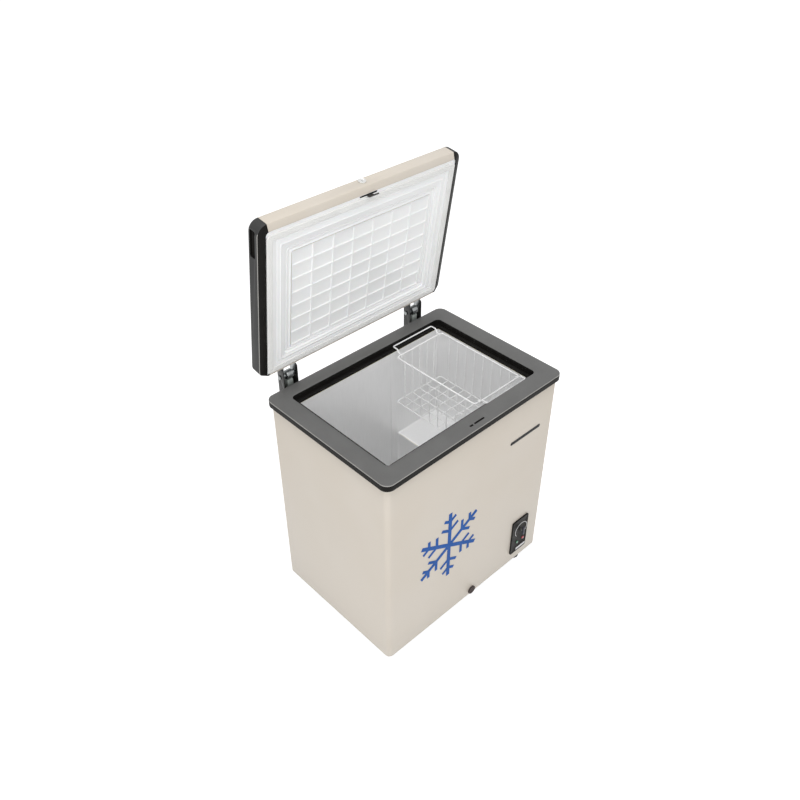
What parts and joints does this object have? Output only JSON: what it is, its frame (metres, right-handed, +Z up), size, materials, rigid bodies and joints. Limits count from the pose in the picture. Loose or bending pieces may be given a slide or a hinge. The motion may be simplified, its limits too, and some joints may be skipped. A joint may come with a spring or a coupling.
{
  "type": "chest freezer",
  "caption": "Small top-opening chest freezer with a spring-balanced lid, lift-out wire basket, raised inner floor over the compressor and a front temperature dial.",
  "frame": {"origin": "on the floor, under the middle of the bounding box with the lid open", "axes": "+X to the right seen from the front, +Y to the back, +Z up"},
  "size_m": [0.6198, 0.4968, 1.1295],
  "materials": {
    "painted_beige": "satin",
    "galvanised": "satin",
    "liner_aluminium": "satin",
    "foam": "matte",
    "collar_grey": "satin",
    "breaker_black": "satin",
    "cap_charcoal": "satin",
    "lid_white": "satin",
    "gasket_white": "matte",
    "lock_grey": "satin",
    "lock_chrome": "polished",
    "hinge_black": "satin",
    "bright_steel": "satin",
    "spring_steel": "satin",
    "cup_grey": "satin",
    "basket_wire": "satin",
    "compressor_black": "satin",
    "black_rubber": "matte",
    "terminal_black": "satin",
    "copper": "satin",
    "drain_grey": "satin",
    "plug_brown": "matte",
    "panel_black": "satin",
    "thermostat_grey": "satin",
    "knob_grey": "satin",
    "print_white": "satin",
    "lens_green": "polished",
    "lens_red": "polished",
    "print_blue": "satin",
    "print_black": "satin"
  },
  "bodies": {
    "cabinet": {"outer_shell": "painted_beige", "rear_panel": "painted_beige", "base_panel": "galvanised", "compressor_tray": "galvanised", "compressor_cover": "galvanised", "inner_liner": "liner_aluminium", "liner_seam_strip": "liner_aluminium", "foam_insulation": "foam", "top_collar": "collar_grey", "breaker_strip": "breaker_black", "hinge_bracket_left": "hinge_black", "hinge_bracket_right": "hinge_black", "hinge_pin_left": "bright_steel", "hinge_pin_right": "bright_steel", "hinge_spring_left": "spring_steel", "hinge_spring_right": "spring_steel", "compressor": "compressor_black", "compressor_grommet_1": "black_rubber", "compressor_grommet_2": "black_rubber", "compressor_grommet_3": "black_rubber", "terminal_box": "terminal_black", "cable_gland": "black_rubber", "suction_pipe": "copper", "discharge_pipe": "copper", "filter_drier": "copper", "drain_tube": "drain_grey", "control_panel": "panel_black", "thermostat": "thermostat_grey", "dial_scale": "print_white", "panel_label": "print_white", "power_lamp": "lens_green", "alarm_lamp": "lens_red", "front_motif": "print_blue", "name_bar": "print_black", "foot_front_left": "black_rubber", "foot_front_right": "black_rubber", "foot_rear_left": "black_rubber", "foot_rear_right": "black_rubber"},
    "lid": {"lid_skin": "painted_beige", "lid_end_cap_left": "cap_charcoal", "lid_end_cap_right": "cap_charcoal", "lid_foam": "foam", "lid_liner": "lid_white", "lid_gasket": "gasket_white", "lock_housing": "lock_grey", "hinge_leaf_left": "bright_steel", "hinge_leaf_right": "bright_steel"},
    "lock_cylinder": {"lock_cylinder": "lock_chrome"},
    "lock_hook": {"lock_hook": "hinge_black"},
    "spring_slider_left": {"spring_cup_left": "cup_grey"},
    "spring_slider_right": {"spring_cup_right": "cup_grey"},
    "basket": {"basket": "basket_wire"},
    "handle_front": {"basket_handle_front": "basket_wire"},
    "handle_rear": {"basket_handle_rear": "basket_wire"},
    "knob": {"thermostat_knob": "knob_grey"},
    "drain_plug": {"drain_plug": "plug_brown"},
    "floor_drain_plug": {"floor_drain_plug": "plug_brown"}
  },
  "joints": [
    {"name": "lid_hinge", "type": "hinge", "parent": "cabinet", "child": "lid", "pos_m": [0, 0.22664, 0.6594], "axis": [-1, 0, 0], "range_deg": [-81.5, 8.5]},
    {"name": "spring_left_slide", "type": "slide", "parent": "cabinet", "child": "spring_slider_left", "axis": [0, 0, 1], "range_m": [-0.0068, 0.0009], "deforming": ["hinge_spring_left"]},
    {"name": "spring_right_slide", "type": "slide", "parent": "cabinet", "child": "spring_slider_right", "axis": [0, 0, 1], "range_m": [-0.0068, 0.0009], "deforming": ["hinge_spring_right"]},
    {"name": "lock_turn", "type": "hinge", "parent": "lid", "child": "lock_cylinder", "pos_m": [0, 0.16958, 1.12579], "axis": [0, -0.1478, 0.989], "range_deg": [0, 90]},
    {"name": "hook_slide", "type": "slide", "parent": "lid", "child": "lock_hook", "axis": [1, 0, 0], "range_m": [0, 0.008]},
    {"name": "basket_lift", "type": "slide", "parent": "cabinet", "child": "basket", "axis": [0, 0, 1], "range_m": [0, 0.25]},
    {"name": "front_handle_fold", "type": "hinge", "parent": "basket", "child": "handle_front", "pos_m": [0.156, -0.15336, 0.62], "axis": [-1, 0, 0], "range_deg": [0, 160]},
    {"name": "rear_handle_fold", "type": "hinge", "parent": "basket", "child": "handle_rear", "pos_m": [0.156, 0.12864, 0.62], "axis": [1, 0, 0], "range_deg": [0, 160]},
    {"name": "knob_turn", "type": "hinge", "parent": "cabinet", "child": "knob", "pos_m": [0.216, -0.24206, 0.13], "axis": [0, -1, 0], "range_deg": [0, 270]},
    {"name": "drain_plug_pull", "type": "slide", "parent": "cabinet", "child": "drain_plug", "axis": [0, -1, 0], "range_m": [0, 0.03]},
    {"name": "floor_drain_plug_pull", "type": "slide", "parent": "cabinet", "child": "floor_drain_plug", "axis": [0, 0, 1], "range_m": [0, 0.03]}
  ],
  "couplings": [
    {"joint": "spring_left_slide", "follows": "lid_hinge", "m_per_rad": 0.0045696},
    {"joint": "spring_right_slide", "follows": "lid_hinge", "m_per_rad": 0.0045696},
    {"joint": "hook_slide", "follows": "lock_turn", "m_per_rad": 0.005093}
  ]
}
